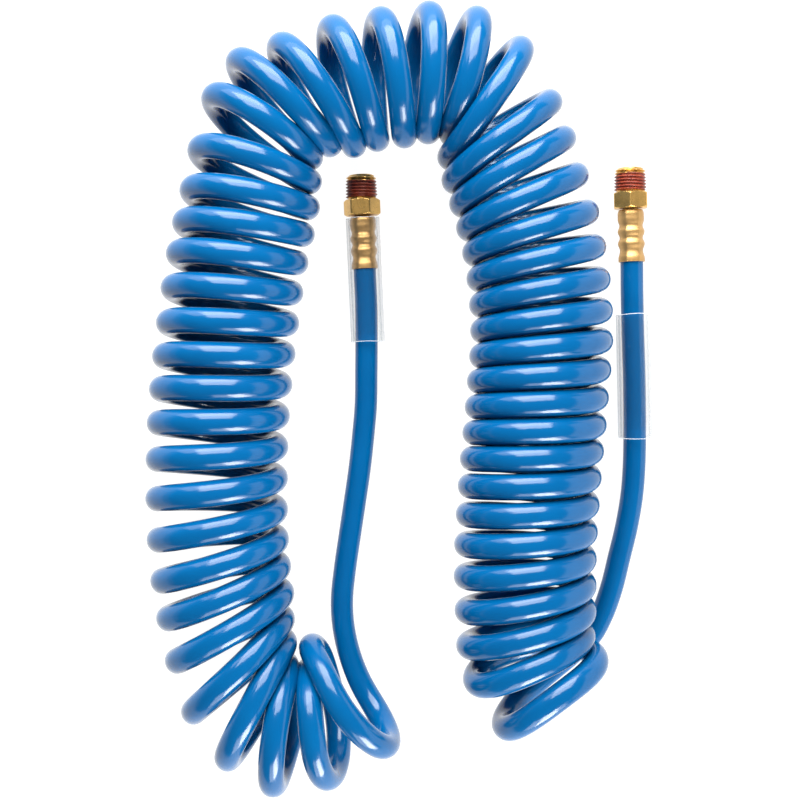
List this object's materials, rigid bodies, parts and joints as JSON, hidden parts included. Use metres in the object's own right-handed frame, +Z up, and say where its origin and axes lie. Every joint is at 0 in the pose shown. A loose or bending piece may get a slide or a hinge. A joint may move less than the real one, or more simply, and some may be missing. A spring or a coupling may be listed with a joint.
{
  "type": "coiled recoil air hose",
  "caption": "Coiled blue recoil air hose lying as a slender arch, with straight tails, crimped brass swivel pipe-thread fittings and clear bend-restrictor sleeves.",
  "frame": {"origin": "centre of the outline, on the surface that the hose lies on", "axes": "+Z up from the surface; +Y along the legs of the coil, towards the arch and towards the threads; +X from the left leg to the right leg"},
  "size_m": [0.2202, 0.3378, 0.06],
  "materials": {
    "hose_blue": "glossy translucent-looking saturated blue polyurethane",
    "brass": "machined and crimped yellow brass, lightly polished",
    "thread_sealant": "dried red pre-applied thread sealant",
    "seal_rubber": "black nitrile rubber",
    "clear_sleeve": "clear flexible plastic tube with cut ends"
  },
  "bodies": {
    "arch": {"left_leg_coil_4": "hose_blue", "arch_coil_1": "hose_blue", "arch_coil_2": "hose_blue", "arch_coil_3": "hose_blue", "arch_coil_4": "hose_blue", "arch_coil_5": "hose_blue", "right_leg_coil_1": "hose_blue"},
    "left_leg_upper": {"left_leg_coil_3": "hose_blue"},
    "left_leg_middle": {"left_leg_coil_2": "hose_blue"},
    "left_leg_lower": {"left_leg_coil_1": "hose_blue"},
    "left_end": {"left_foot_coil": "hose_blue", "left_tail": "hose_blue", "left_hose_end": "hose_blue", "left_hose_stem": "brass", "left_ferrule": "brass", "left_o_ring": "seal_rubber"},
    "left_swivel": {"left_swivel_body": "brass", "left_thread_sealant": "thread_sealant"},
    "left_sleeve": {"left_restrictor_sleeve": "clear_sleeve"},
    "right_leg_upper": {"right_leg_coil_2": "hose_blue"},
    "right_leg_middle": {"right_leg_coil_3": "hose_blue"},
    "right_leg_lower": {"right_leg_coil_4": "hose_blue"},
    "right_end": {"right_foot_coil": "hose_blue", "right_tail": "hose_blue", "right_hose_end": "hose_blue", "right_hose_stem": "brass", "right_ferrule": "brass", "right_o_ring": "seal_rubber"},
    "right_swivel": {"right_swivel_body": "brass", "right_thread_sealant": "thread_sealant"},
    "right_sleeve": {"right_restrictor_sleeve": "clear_sleeve"}
  },
  "joints": [
    {"name": "left_stretch", "type": "slide", "parent": "arch", "child": "left_end", "axis": [0, -1, 0], "range_m": [0, 0.3], "stiffness_N_per_m": 15},
    {"name": "left_leg_lower_stretch", "type": "slide", "parent": "arch", "child": "left_leg_lower", "axis": [0, -1, 0], "range_m": [0, 0.24]},
    {"name": "left_leg_middle_stretch", "type": "slide", "parent": "arch", "child": "left_leg_middle", "axis": [0, -1, 0], "range_m": [0, 0.15]},
    {"name": "left_leg_upper_stretch", "type": "slide", "parent": "arch", "child": "left_leg_upper", "axis": [0, -1, 0], "range_m": [0, 0.06]},
    {"name": "right_stretch", "type": "slide", "parent": "arch", "child": "right_end", "axis": [0, -1, 0], "range_m": [0, 0.3], "stiffness_N_per_m": 15},
    {"name": "right_leg_lower_stretch", "type": "slide", "parent": "arch", "child": "right_leg_lower", "axis": [0, -1, 0], "range_m": [0, 0.24]},
    {"name": "right_leg_middle_stretch", "type": "slide", "parent": "arch", "child": "right_leg_middle", "axis": [0, -1, 0], "range_m": [0, 0.15]},
    {"name": "right_leg_upper_stretch", "type": "slide", "parent": "arch", "child": "right_leg_upper", "axis": [0, -1, 0], "range_m": [0, 0.06]},
    {"name": "left_swivel_turn", "type": "hinge", "parent": "left_end", "child": "left_swivel", "pos_m": [-0.01806, 0.08221, 0.0083], "axis": [-0.0436, 0.999, 0], "continuous": true},
    {"name": "right_swivel_turn", "type": "hinge", "parent": "right_end", "child": "right_swivel", "pos_m": [0.10044, 0.08531, 0.0083], "axis": [-0.0209, 0.9998, 0], "continuous": true},
    {"name": "left_sleeve_slide", "type": "slide", "parent": "left_end", "child": "left_sleeve", "axis": [-0.0436, 0.999, 0], "range_m": [-0.012, 0]},
    {"name": "right_sleeve_slide", "type": "slide", "parent": "right_end", "child": "right_sleeve", "axis": [-0.0209, 0.9998, 0], "range_m": [-0.01, 0.045]}
  ],
  "couplings": [
    {"joint": "left_leg_lower_stretch", "follows": "left_stretch", "ratio": 0.8},
    {"joint": "left_leg_middle_stretch", "follows": "left_stretch", "ratio": 0.5},
    {"joint": "left_leg_upper_stretch", "follows": "left_stretch", "ratio": 0.2},
    {"joint": "right_leg_lower_stretch", "follows": "right_stretch", "ratio": 0.8},
    {"joint": "right_leg_middle_stretch", "follows": "right_stretch", "ratio": 0.5},
    {"joint": "right_leg_upper_stretch", "follows": "right_stretch", "ratio": 0.2}
  ]
}
